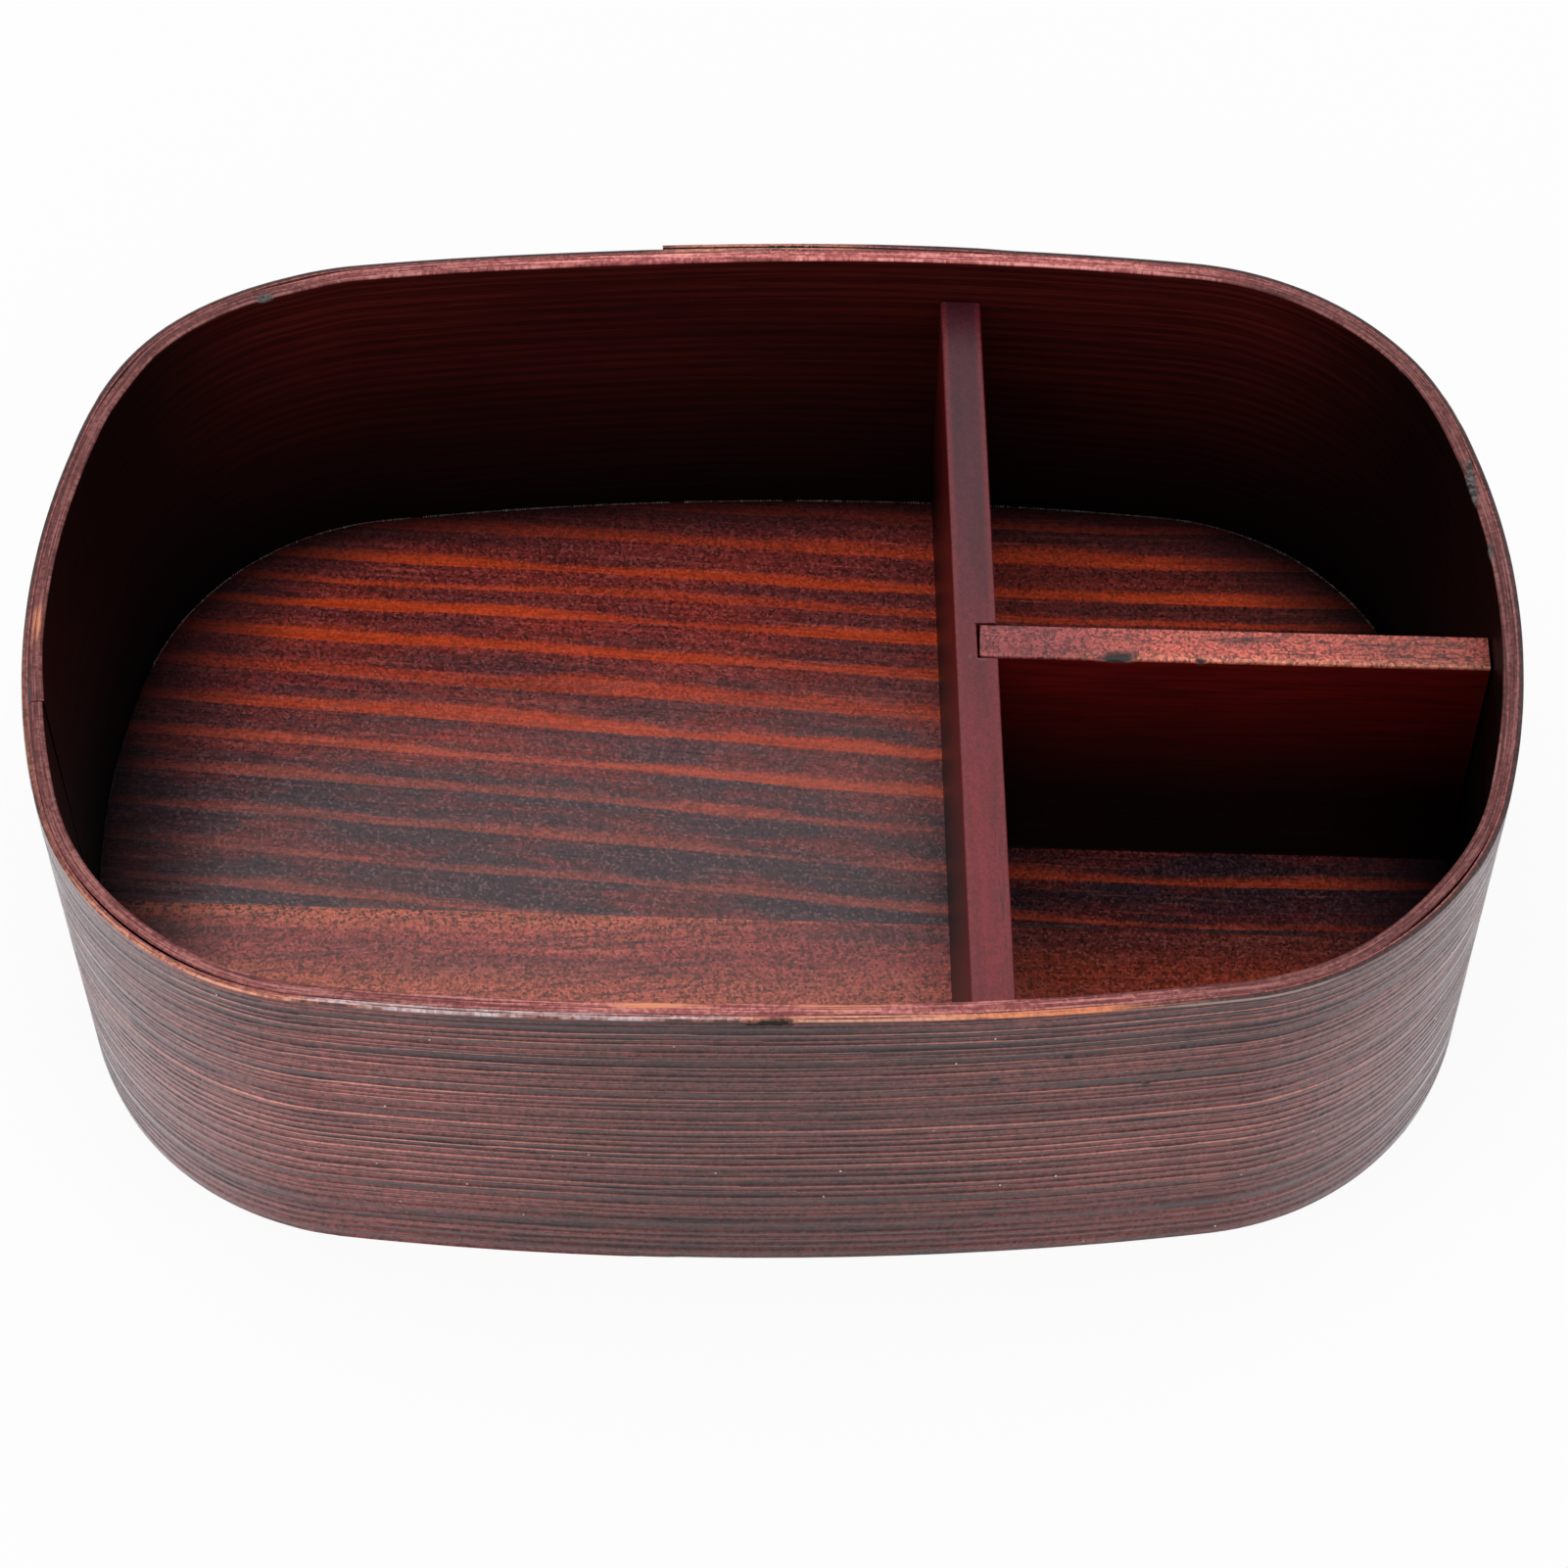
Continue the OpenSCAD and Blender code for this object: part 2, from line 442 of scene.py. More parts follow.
def bite(obj, place, reach, push, field):  # breaks a bit out of an edge, in mm, and marks it for the finish
    centre, reach, push = (Vector(size) * mm for size in (place, reach, push))
    least, uneven, depthGrain = breakage["depth"]
    marks = obj.data.attributes[field].data
    for vertex in obj.data.vertices:
        away = vertex.co - centre
        off = math.sqrt(sum((away[i] / reach[i]) ** 2 for i in range(3)))
        if off < breakage["fray"]:
            for strength, grain in breakage["ragged"]:
                off += strength * noise.noise(vertex.co / grain)
            near = clamp(breakage["steepness"] * (1 - off))
            vertex.co += push * near * (least + uneven * noise.noise(vertex.co / depthGrain))
            marks[vertex.index].value = max(marks[vertex.index].value, near)


def settle(obj, body, slot, *nodes):
    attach(obj, body)
    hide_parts(*nodes)
    print(obj.name, "made:", len(obj.data.polygons), "faces")


# finishes

def srgb(red, green, blue):  # a colour as a picture shows it, 0 to 255
    def linear(value):
        value /= 255
        return value / 12.92 if value <= 0.04045 else ((value + 0.055) / 1.055) ** 2.4
    return (linear(red), linear(green), linear(blue), 1.0)


def newWood(name, specular):
    material = bpy.data.materials.new(name)
    material.use_nodes = True
    tree = material.node_tree
    shader = tree.nodes["Principled BSDF"]
    shader.inputs["Specular IOR Level"].default_value = specular
    return material, tree, shader


def roughen(shader, height, depth, strength):
    inputs = {"Height": height, "Distance": depth, "Strength": strength}
    bump = addNode(height.tree, "ShaderNodeBump", inputs)
    feed(shader.inputs["Normal"], bump.outputs[0])


def carried(tree, *names):  # numbers that the piece's mesh carries
    return [wired(tree, "ShaderNodeAttribute", output="Fac", attribute_name=name) for name in names]


def planPlace(tree):  # where a point is in plan, right and back of the box's middle
    place = wired(tree, "ShaderNodeTexCoord", output="Object")
    parts = addNode(tree, "ShaderNodeSeparateXYZ", {0: place}).outputs
    return Wire(parts["X"]), Wire(parts["Y"])


def stretched(along, aside, scales):  # a place in a texture that is drawn out along the grain
    return point(along * scales[0], aside * scales[1], scales[2])


def streaks(along, aside, scales, detail, roughness=0.5):
    return noiseAt(stretched(along, aside, scales), 1.0, detail, roughness)


def cellsAt(vector, dimensions):  # a random number for each cell, and how far off its middle is
    cells = addNode(vector.tree, "ShaderNodeTexVoronoi", {"Vector": vector, "Scale": 1.0},
                    voronoi_dimensions=dimensions)
    lot = wired(vector.tree, "ShaderNodeSeparateColor", {0: cells.outputs["Color"]})
    return lot, Wire(cells.outputs["Distance"])


def flecked(along, aside, scales):  # small grains, each darker or lighter than the next
    return cellsAt(stretched(along, aside, scales), "3D")[0]


def drawn(number):  # a random share for each whole number
    return wired(number.tree, "ShaderNodeTexWhiteNoise", {"W": number}, "Value", noise_dimensions="1D")


def rimWood(along, across, x, y, look):  # the cut edge along the rim: long fibres, lighter at the front
    strand = streaks(along, across, (70.0, look["strands"], 3.7), 4.0, 0.7)
    fleck = flecked(along, across, (2200.0, 0.6 * look["strands"], 9.1))
    blend = strand + rescale(fleck, -0.06, 0.06)
    colour = ramp(blend, (0.36, look["rimDeep"]), (0.5, look["rimMid"]), (0.62, look["rimPale"]))
    front = fade(y, -30 * mm, -58 * mm) * fade(x, 62 * mm, 22 * mm)
    back = fade(y, 55 * mm, 62 * mm)
    right = fade(x, 25 * mm, 90 * mm)
    left = fade(x, -15 * mm, -60 * mm)
    tone = look["rimTone"] + front * look["rimFront"] + back * look["rimBack"]
    tone *= rescale(right, 1.0, look["rimRight"])
    tone *= rescale(left, 1.0, look["rimLeft"])
    return tinted(colour, tone), strand, fleck


outerFinish = {
    "valley": srgb(44, 20, 22),    # the soft, sunk part of a ring
    "flank": srgb(94, 46, 45),
    "line": srgb(184, 118, 106),    # the hard line
    # painted sheen at the corners
    "cornerSheen": srgb(176, 164, 170),
    "violet": srgb(50, 29, 33),    # darker streaks in the stain
    "rimPale": srgb(232, 160, 128),
    "rimMid": srgb(170, 96, 78),
    "rimDeep": srgb(84, 36, 36),
    "strands": 3.0,
    "rimTone": 0.4,
    "rimFront": 0.6,
    "rimBack": -0.14,
    "rimRight": 0.7,
    "rimLeft": 1.0,
    "rimRed": srgb(150, 78, 76),   # next to the glue line
    "rimStain": srgb(57, 35, 36),  # away from the front the edge has taken the stain
    "salmon": srgb(212, 146, 120),
    "amber": srgb(216, 128, 90),
    "wornDark": srgb(128, 84, 84),
    "lapTan": srgb(190, 124, 104),
    "bleached": srgb(216, 198, 200),
    "rubbedCorner": srgb(186, 160, 154),
    "chipDark": srgb(22, 14, 14),
    "speck": srgb(206, 196, 192),
    "fuzz": 1.0,
    "leftPaintedLight": 0.85,              # painted light: the wall is lighter round the front left
    "rightPaintedLight": 0.35,
}
hairCracks = (((-12, 10.5), (11.9, 9.3)), ((-36.2, 4.5), (-20.1, 5.0)))  # x and height of each end, mm
wallNicks = (  # x, height, half length, mm
    (28.4, 46.7, 0.9), (38.3, 49.7, 0.8), (37.6, 51.6, 0.8),
    (48.0, 43.0, 0.8), (52.1, 46.0, 0.5), (52.2, 51.8, 0.5),
)


def outerVeneer():
    look = outerFinish
    material, tree, shader = newWood("outerVeneer", 0.36)
    rings, along, across, rise, chip = carried(tree, "rings", "along", "across", "rise", "chip")
    x, y = planPlace(tree)
    fibre = streaks(along, rise, (90.0, 1500.0, 0.0), 3.0, 0.6)
    mottle = streaks(along, rise, (120.0, 520.0, 4.0), 3.0, 0.65)
    streak = streaks(along, rise, (14.0, 330.0, 8.1), 3.0, 0.6)
    fleck = flecked(along, rise, (2300.0, 1600.0, 6.0))
    belowRim = fade(rise, rimHeight - 22 * mm, rimHeight - 3 * mm)
    muddy = streak * 0.5 + mottle * 0.5 + belowRim * 0.07
    colour = mixed(fade(muddy, 0.46, 0.62), look["flank"], look["violet"])
    # each line has its own strength, comes and goes along the wall and dies out towards the foot
    phase = calc("FRACT", rings)
    ringTone = drawn(calc("FLOOR", rings))
    presence = streaks(along, rings, (24.0, 2.7, 5.5), 2.0)
    strength = rescale(ringTone, 0.3, 1.05) * rescale(presence, -0.1, 2.1)
    strength *= rescale(fade(rise, 4 * mm, 30 * mm), 0.2, 1.0)
    strength = calc("MINIMUM", calc("MAXIMUM", strength, 0.06), 1.0)
    wavy = phase + (fibre - 0.5) * 0.16
    groove = fade(wavy, 0.28, 0.0) * strength
    colour = mixed(groove * 0.65, colour, look["valley"])
    tone = rescale(fibre, 0.25, 1.75) * rescale(fleck, 0.45, 1.4) * rescale(mottle, 0.3, 1.7)
    colour = tinted(colour, tone)
    ridge = between(wavy, 0.85, 0.98, 0.035) * strength * rescale(fleck, 0.65, 1.0)
    colour = mixed(ridge, colour, look["line"])
    # painted light: lighter round the front left and, less, round the front right
    onLeft = fade(x, -8 * mm, -56 * mm) * fade(x, -99 * mm, -76 * mm)
    onRight = fade(x, 10 * mm, 50 * mm) * fade(x, 99 * mm, 76 * mm)
    side = onLeft * look["leftPaintedLight"] + onRight * look["rightPaintedLight"]
    colour = tinted(colour, side + 1.0)
    # painted sheen: the corners are greyed where the wall is seen edge on
    cornerSheen = fade(abs(x), 58 * mm, 90 * mm)
    greyed = rescale(fibre, -0.15, 0.55) * rescale(fleck, 0.65, 1.35)
    colour = mixed(cornerSheen * greyed, colour, look["cornerSheen"])

    # pale grains of dust, most of them in one patch, then hair cracks and nicks
    lot, off = cellsAt(stretched(along, rise, (420.0, 420.0, 0.0)), "2D")
    dusty = between(x, 9 * mm, 44 * mm, 4 * mm) * between(rise, 18 * mm, 26 * mm, 2 * mm)
    speck = calc("LESS_THAN", lot, rescale(dusty, 0.012, 0.16)) * calc("LESS_THAN", off, 0.06)
    colour = mixed(speck, colour, look["speck"])
    inFront = calc("LESS_THAN", y, 0.0)
    for (startX, startZ), (endX, endZ) in hairCracks:
        fall = (x - startX * mm) * ((endZ - startZ) / (endX - startX))
        offLine = rise - startZ * mm - fall + (streak - 0.5) * (1.2 * mm)
        crack = fade(abs(offLine), 0.22 * mm, 0.08 * mm) * between(x, startX * mm, endX * mm, 2 * mm)
        colour = mixed(crack * inFront * 0.8, colour, look["chipDark"])
    for nickX, nickZ, half in wallNicks:
        aside, level = abs(x - nickX * mm), abs(rise - nickZ * mm)
        nick = fade(aside, half * mm, 0.3 * half * mm) * fade(level, 0.6 * mm, 0.3 * mm)
        colour = mixed(nick * inFront, colour, look["chipDark"])
    # the rim: stained but for the front left, worn, rubbed and chipped in places
    edge, strand, crumb = rimWood(along, across, x, y, look)
    light = fade(y, 6 * mm, -12 * mm) * fade(x, 60 * mm, 46 * mm)
    stained = tinted(look["rimStain"], rescale(crumb, 0.5, 1.6))
    edge = mixed(rescale(light, 0.88, 0.0), edge, stained)
    edge = mixed(fade(across, 0.45, 0.2), edge, tinted(look["rimRed"], rescale(crumb, 0.5, 1.4)))
    worn = between(x, -58 * mm, -5 * mm, 4 * mm) * inFront
    crumbly = mixed(rescale(crumb, 0.35, 1.0), look["wornDark"], look["bleached"])
    edge = mixed(worn * fade(strand, 0.42, 0.52), edge, crumbly)
    rubbed = between(x, 3 * mm, 44 * mm, 3 * mm) * inFront * fade(strand, 0.36, 0.52)
    warm = mixed(fade(x, 16 * mm, 30 * mm), look["salmon"], look["amber"])
    edge = mixed(rubbed, edge, tinted(warm, rescale(crumb, 0.8, 1.2)))
    behind = calc("GREATER_THAN", y, 0.0)
    onLap = between(x, -15 * mm, 12 * mm, 4 * mm) * behind * fade(strand, 0.38, 0.54)
    edge = mixed(onLap, edge, tinted(look["lapTan"], rescale(crumb, 0.6, 1.4)))
    dotted = noiseAt(point(along * 1100.0, 2.0, 2.0), 1.0, 1.0)
    dots = between(x, -0.6 * mm, 6.8 * mm, 0.6 * mm) * fade(across, 0.4, 0.15) * fade(dotted, 0.46, 0.5)
    edge = mixed(dots * behind, edge, look["chipDark"])
    # a pale line where the outer corner has been rubbed, front right
    corner = fade(across, 0.92, 0.98) * between(rise, rimHeight - 0.3 * mm, rimHeight - 0.1 * mm, 0.06 * mm)
    corner *= between(x, 44 * mm, 76 * mm, 8 * mm) * inFront
    colour = mixed(fade(rise, rimHeight - 0.32 * mm, rimHeight - 0.08 * mm), colour, edge)
    colour = mixed(corner * 0.6, colour, look["rubbedCorner"])
    colour = mixed(chip, colour, look["chipDark"])
    feedAll(shader, {
        "Base Color": colour,
        "Roughness": rescale(fibre, 0.2, 0.4) + chip * 0.4,
        "Specular IOR Level": rescale(groove, 0.36, 0.14),
        # raised fibres turn grey when seen edge on, but not down in the grooves
        "Sheen Weight": rescale(groove, look["fuzz"], 0.3),
        "Sheen Roughness": 0.24,
        "Sheen Tint": (0.97, 0.96, 1, 1),
    })
    roughen(shader, fibre + fleck * 0.3, 0.08 * mm, 0.5)
    return material


innerFinish = {
    "deep": srgb(46, 9, 8),
    "mid": srgb(62, 15, 13),
    "line": srgb(78, 22, 18),
    "rimPale": srgb(228, 148, 142),
    "rimMid": srgb(164, 84, 82),
    "rimDeep": srgb(104, 42, 44),
    "strands": 6.0,
    "rimTone": 0.58,
    "rimFront": 0.31,
    "rimBack": 0.66,
    "rimRight": 0.61,
    "rimLeft": 0.66,
    "chipDark": srgb(26, 18, 18),
    "chipGrey": srgb(104, 97, 95),
    "bareWood": srgb(226, 144, 108),
}


def innerVeneer():
    look = innerFinish
    material, tree, shader = newWood("innerVeneer", 0.08)
    rings, along, across, rise = carried(tree, "rings", "along", "across", "rise")
    chip, bare = carried(tree, "chip", "bare")
    x, y = planPlace(tree)
    fibre = streaks(along, rise, (50.0, 1700.0, 0.0), 4.0, 0.6)
    cloud = streaks(along, rise, (16.0, 60.0, 2.3), 4.0)
    wavy = calc("FRACT", rings) + (fibre - 0.5) * 2.2
    colour = ramp(wavy, (0.0, look["mid"]), (0.2, look["deep"]), (0.5, look["mid"]), (0.85, look["line"]),
                  (1.0, look["mid"]))
    # painted shade: darker towards the floor and round the ends
    paintedDepthShade = rescale(fade(rise, floorTop, rimHeight + 6 * mm), 0.06, 1.0)
    ends = rescale(fade(abs(x), 66 * mm, 92 * mm), 1.0, 0.08)
    colour = tinted(colour, paintedDepthShade * ends * rescale(cloud, 0.2, 1.8))
    edge, strand, fleck = rimWood(along, across, x, y, look)
    onRim = fade(rise, rimHeight - 0.42 * mm, rimHeight - 0.12 * mm)
    colour = mixed(onRim, colour, edge)
    colour = mixed(bare * fade(strand, 0.4, 0.58), colour, look["bareWood"])
    colour = mixed(chip, colour, mixed(fleck, look["chipDark"], look["chipGrey"]))
    feedAll(shader, {
        "Base Color": colour,
        "Roughness": rescale(fibre, 0.4, 0.62),
        "Specular IOR Level": rescale(onRim, 0.08, 0.34),
    })
    roughen(shader, fibre, 0.06 * mm, 0.5)
    return material


floorFinish = {
    "ember": srgb(202, 68, 28),     # hard orange bands
    "coral": srgb(170, 78, 62),     # the same bands towards the front
    "russet": srgb(146, 48, 40),    # wood between them
    "dusk": srgb(116, 42, 38),
    "slate": srgb(68, 42, 51),      # grey stain that has stayed in the soft wood
    "firstBand": 53 * mm,
    "pitch": 6.7 * mm,
    "frontRed": srgb(156, 68, 63),
    "frontTan": srgb(190, 96, 72),
    "frontDark": srgb(108, 52, 55),
    "glint": srgb(164, 128, 122),    # painted glints: pale specks where the pores catch the light
}
floorJoint = {"y": -14.2 * mm, "turn": math.radians(-2.2)}


def finishFloor(shader, colour, fibre, fleck, shine):
    nook = carried(colour.tree, "nook")[0]  # 0 against the wall, 1 out in the open
    # painted shade against the wall: darker there, and greyer for the dust in the corners
    colour = mixed(rescale(nook, 0.65, 0.0), colour, floorFinish["slate"])
    feedAll(shader, {
        "Base Color": tinted(colour, rescale(nook, 0.1, 1.0)),
        "Roughness": rescale(fibre, 0.18, 0.36),
        "Specular IOR Level": rescale(nook, 0.15, 0.65) * shine,
    })
    roughen(shader, fibre + fleck * 0.4, 0.07 * mm, 0.5)


def floorBackWood():
    look = floorFinish
    material, tree, shader = newWood("floorBackWood", 0.65)
    x, y = planPlace(tree)
    # the bands run down to the right, more so towards the front, and level out on the right
    lean = 0.1075 + y * -0.5
    beyond = calc("MAXIMUM", x - 10 * mm, 0.0)
    bowed = x - beyond * beyond * 6.5
    level = y + bowed * lean
    swirl = streaks(x, level, (14.0, 70.0, 0.4), 2.0)
    fibre = streaks(x, level, (40.0, 1500.0, 2.0), 3.0, 0.65)
    streak = streaks(x, level, (18.0, 420.0, 5.0), 4.0, 0.6)
    blotch = streaks(x, level, (36.0, 150.0, 7.0), 4.0, 0.6)
    fleck = flecked(x, level, (2900.0, 2600.0, 1.0))
    wavy = level + (swirl - 0.5) * (2.4 * mm)
    count = (look["firstBand"] - wavy) / look["pitch"] + fade(wavy, 47 * mm, 37 * mm) * 0.65 - 0.14
    feathered = count + (streak - 0.5) * 0.24
    phase = calc("FRACT", feathered)
    band = calc("FLOOR", feathered)
    breadth = streaks(x, band, (22.0, 3.7, 2.0), 3.0)
    towardFront = fade(level, 26 * mm, -8 * mm)
    # each band is crisp along the front and starts further back or nearer as it goes
    backEdge = rescale(breadth, 0.1, 1.05) + streak * 0.12 + towardFront * 0.16
    hard = fade(phase - backEdge, -0.1, 0.14) * fade(phase, 0.995, 0.95)
    warmth = rescale(drawn(band), 0.55, 1.0) * rescale(swirl, 0.3, 1.7)
    hard = calc("MINIMUM", hard * warmth * rescale(towardFront, 1.0, 0.75), 1.0)
    soft = mixed(fade(streak, 0.36, 0.64), look["dusk"], look["russet"])
    greyShare = rescale(fade(level, 40 * mm, 8 * mm), 0.32, 0.85)
    grey = fade(blotch, 0.38, 0.62) * greyShare + fade(level, 16 * mm, -4 * mm) * 0.45
    soft = mixed(calc("MINIMUM", grey, 1.0), soft, look["slate"])
    onRight = fade(x, 22 * mm, 34 * mm)
    # painted shade: the soft wood right of the long divider is darker
    soft = tinted(soft, rescale(onRight, 1.0, 0.72))
    paler = towardFront * rescale(onRight, 1.0, 0.3)
    colour = mixed(hard, soft, mixed(paler, look["ember"], look["coral"]))
    hairline = fade(fibre, 0.56, 0.72) * 0.4
    colour = mixed(hairline, colour, look["coral"])
    speckle = rescale(fleck, rescale(hard, 0.3, 0.66), rescale(hard, 1.7, 1.34))
    colour = tinted(colour, rescale(fibre, 0.45, 1.55) * speckle)
    # painted glints on the pores, mostly on the soft wood
    glints = fade(fleck, 0.84, 0.94) * rescale(hard, 0.15, 0.04)
    glints *= rescale(towardFront, 1.0, 1.8) * rescale(onRight, 1.0, 0.4)
    colour = mixed(glints, colour, look["glint"])
    # painted shade: darker and duller in the small compartment at the front
    compartmentShade = onRight * fade(y, 4 * mm, -4 * mm)
    colour = tinted(colour, rescale(compartmentShade, 1.0, 0.8))
    finishFloor(shader, colour, fibre, fleck, rescale(compartmentShade, 1.0, 0.35))
    return material


def floorFrontWood():
    look = floorFinish
    material, tree, shader = newWood("floorFrontWood", 0.65)
    x, y = planPlace(tree)
    level = y + x * 0.035
    scored = y - x * 0.1  # scrape marks rise to the right
    fibre = streaks(x, level, (40.0, 1300.0, 3.0), 4.0, 0.65)
    broad = streaks(x, level, (9.0, 130.0, 6.0), 3.0)
    scrape = streaks(x, scored, (26.0, 800.0, 4.0), 4.0, 0.65)
    fleck = flecked(x, level, (2900.0, 2600.0, 5.0))
    colour = ramp(broad, (0.36, look["frontDark"]), (0.5, look["frontRed"]), (0.66, look["frontTan"]))
    tanBand = between(level, -31 * mm, -24 * mm, 3 * mm)
    colour = mixed(tanBand * 0.6, colour, look["frontTan"])
    colour = mixed(fade(scrape, 0.53, 0.62) * 0.9, colour, look["frontDark"])
    # a lighter band with open pores along the joint, to the left
    fromJoint = y - x * math.tan(floorJoint["turn"]) - floorJoint["y"]
    pitted = fade(fromJoint, -3.4 * mm, -1.0 * mm) * fade(x, 5 * mm, -25 * mm)
    colour = mixed(pitted * 0.4, colour, look["frontTan"])
    colour = mixed(pitted * calc("LESS_THAN", fleck, 0.22) * 0.55, colour, look["slate"])
    onRight = fade(x, 24 * mm, 40 * mm)
    red = mixed(fade(fromJoint, -8 * mm, -1 * mm) * 0.7, look["ember"], look["slate"])
    colour = mixed(onRight * 0.6, colour, red)
    # painted shadow right of the long divider, darkest beside the joint
    shadow = rescale(fade(fromJoint, -6 * mm, -26 * mm), 0.5, 0.8)
    colour = tinted(colour, rescale(onRight, 1.0, shadow))
    colour = tinted(colour, rescale(fibre, 0.3, 1.7) * rescale(fleck, 0.3, 1.7))
    # painted glints on the pores
    colour = mixed(fade(fleck, 0.84, 0.94) * 0.15, colour, look["glint"])
    finishFloor(shader, colour, fibre, fleck, rescale(onRight, 1.0, 0.4))
    return material


longFinish = {
    "near": srgb(114, 28, 36),     # at the front
    "far": srgb(70, 17, 32),       # and at the back
    "turnPoint": (30 * mm, 95 * mm),
    "edge": srgb(112, 34, 40),
    "highlightFrontOnly": False,            # painted highlight along both top edges
    "face": srgb(78, 15, 13),
    "scratch": srgb(56, 20, 26),
    "chipDark": srgb(24, 12, 12),
    "bareWood": srgb(190, 110, 96),
    "scratchShare": 0.7,
    "scratchSpread": 0.15,
    "scratchRows": ((0.82, 0.16, 8 * mm, 34 * mm),),  # place across, reach, and from where to where along
    "grain": 0.25,
    "faceShadeFrom": 0.0,
    "breadth": 5.8 * mm,
    "endShade": (112 * mm, 124 * mm),
}
shortFinish = {
    "near": srgb(132, 58, 59),     # beside the long divider
    "far": srgb(180, 84, 72),      # and out towards the wall
    "turnPoint": (8 * mm, 26 * mm),
    "edge": srgb(210, 124, 98),
    "highlightFrontOnly": True,             # painted highlight along the front top edge only
    "face": srgb(80, 9, 8),
    "scratch": srgb(64, 34, 36),
    "chipDark": srgb(48, 43, 43),
    "bareWood": srgb(206, 140, 112),
    "scratchShare": 0.9,
    "scratchSpread": 0.3,
    "scratchRows": (
        (0.72, 0.2, 16 * mm, 66 * mm),
        (0.3, 0.22, 38 * mm, 68 * mm),
        (0.42, 0.16, 20 * mm, 32 * mm),
    ),
    "grain": 0.72,
    "faceShadeFrom": 12 * mm,
    "breadth": 5.4 * mm,
    "endShade": (44 * mm, 62 * mm),
}


def dividerWood(name, look):
    material, tree, shader = newWood(name, 0.5)
    along, across, rise, chip, bare = carried(tree, "along", "across", "rise", "chip", "bare")
    fibre = noiseAt(point(along * 60.0, rise * 1100.0, across * 14.0), 1.0, 4.0, 0.65)
    fleck = flecked(along, across * look["breadth"] + rise, (2900.0, 2700.0, 3.0))
    onTop = fade(rise, dividerHeight - 0.7 * mm, dividerHeight - 0.25 * mm)
    face = tinted(look["face"], rescale(fibre, -0.3, 2.3))
    # painted shade: the sides darken towards the floor
    face = tinted(face, rescale(fade(rise, look["faceShadeFrom"], dividerHeight), 0.06, 1.15))
    top = mixed(fade(along, *look["turnPoint"]), look["near"], look["far"])
    cloud = streaks(along, across, (50.0, 2.0, 5.0), 3.0)
    top = tinted(top, rescale(cloud, 0.4, 1.6))
    # painted highlight along the top edges
    if look["highlightFrontOnly"]:
        edgeHighlight = fade(across, 0.24, 0.0) * fade(along, 6 * mm, 34 * mm)
    else:
        edgeHighlight = fade(abs(across - 0.5), 0.34, 0.5)
    top = mixed(edgeHighlight * 0.7, top, look["edge"])
    # dark dashes in rows
    dash = streaks(along, across, (230.0, 14.0, 1.5), 3.0, 0.65)
    share = look["scratchSpread"]
    for centre, reach, start, end in look["scratchRows"]:
        row = fade(abs(across - centre), reach, 0.3 * reach) * between(along, start, end, 5 * mm)
        share = calc("MAXIMUM", share, row)
    scratched = fade(dash, 0.52, 0.59) * share * look["scratchShare"]
    top = mixed(scratched, top, look["scratch"])
    top = tinted(top, rescale(fade(along, *look["endShade"]), 1.0, 0.68))
    top = tinted(top, rescale(fleck, 1 - look["grain"], 1 + look["grain"]))
    colour = mixed(onTop, face, top)
    colour = mixed(bare, colour, look["bareWood"])
    colour = mixed(chip, colour, look["chipDark"])
    feedAll(shader, {
        "Base Color": colour,
        "Roughness": rescale(fibre, 0.3, 0.46) + chip * 0.4,
        "Specular IOR Level": rescale(onTop, 0.15, 0.5),
    })
    roughen(shader, fibre + fleck * 0.3, 0.05 * mm, 0.4)
    return material


# outer ply: starts at the lap's free end on the back, goes once round and tapers away beneath the lap

outerPly = {
    "thickness": 1 * mm,
    "lapLeft": -15.6 * mm,
    "lapRight": 28.8 * mm,
    "freeEnd": 0.6 * mm,       # thickness at the free end
    "freeLift": 1.05 * mm,     # and its height off the inner ply
    "rootLift": 0.25 * mm,
    "rootBlend": 6 * mm,
    "feather": 0.15 * mm,
    "play": 0.05 * mm,         # room for the glue in the lap
    "step": 1.8 * mm,
    "nearEdge": 0.04 * mm,
    "farEdge": 0.28 * mm,
    "cells": {"farRows": 180, "nearRows": 12, "topCells": 5},
    "grain": {"Seed": 4.0, "Ring pitch": 2.15 * mm, "Ring crowding": 0.4, "Ring wander": 1.6 * mm,
              "Ring relief": 0.12 * mm, "Fibre relief": 0.06 * mm},
    "chips": (((-0.5, -64.55, 61.85), (4.0, 0.75, 0.8), (0, 0.15, -0.7)),),  # place, reach and push, mm
}


def makeOuterPly():
    size = outerPly
    lapR = plan["longSideR"] - size["thickness"]
    start = math.acos(size["lapLeft"] / lapR)
    root = math.acos(size["lapRight"] / lapR)
    lapLength = size["lapRight"] - size["lapLeft"]
    inLap = size["thickness"] - size["play"]
    marks = chipPlaces(size["chips"])
    stops = walkWall(size["thickness"], start, root - 2 * math.pi, size["step"], marks)
    lift, thickness = [], []
    for place, way, walked, angle in stops:
        if angle > root:  # over the lap
            share = (size["lapRight"] - place.x) / lapLength
            lift.append(lerp(size["rootLift"], size["freeLift"], share))
            thickness.append(lerp(inLap, size["freeEnd"], share))
        elif angle < start - 2 * math.pi:  # beneath it
            share = (place.x - size["lapLeft"]) / lapLength
            lift.append(0.0)
            thickness.append(lerp(inLap, size["feather"], share))
        else:
            past = bump1d(walked, lapLength, size["rootBlend"])
            lift.append(size["rootLift"] * past)
            thickness.append(lerp(size["thickness"], inLap, past))
    foot, outward, along, angles = zip(*stops)
    lean = [leanAt(angle) for angle in angles]
    obj = sweepStrip("outerPly", size, outerVeneer(), rimHeight, size["thickness"],
                     foot, outward, along, thickness, lift, lean)
    for chip in size["chips"]:
        bite(obj, *chip, "chip")
    settle(obj, "box", "outer_veneer", "outer_ply")


# inner ply: a closed hoop, butted on the left end

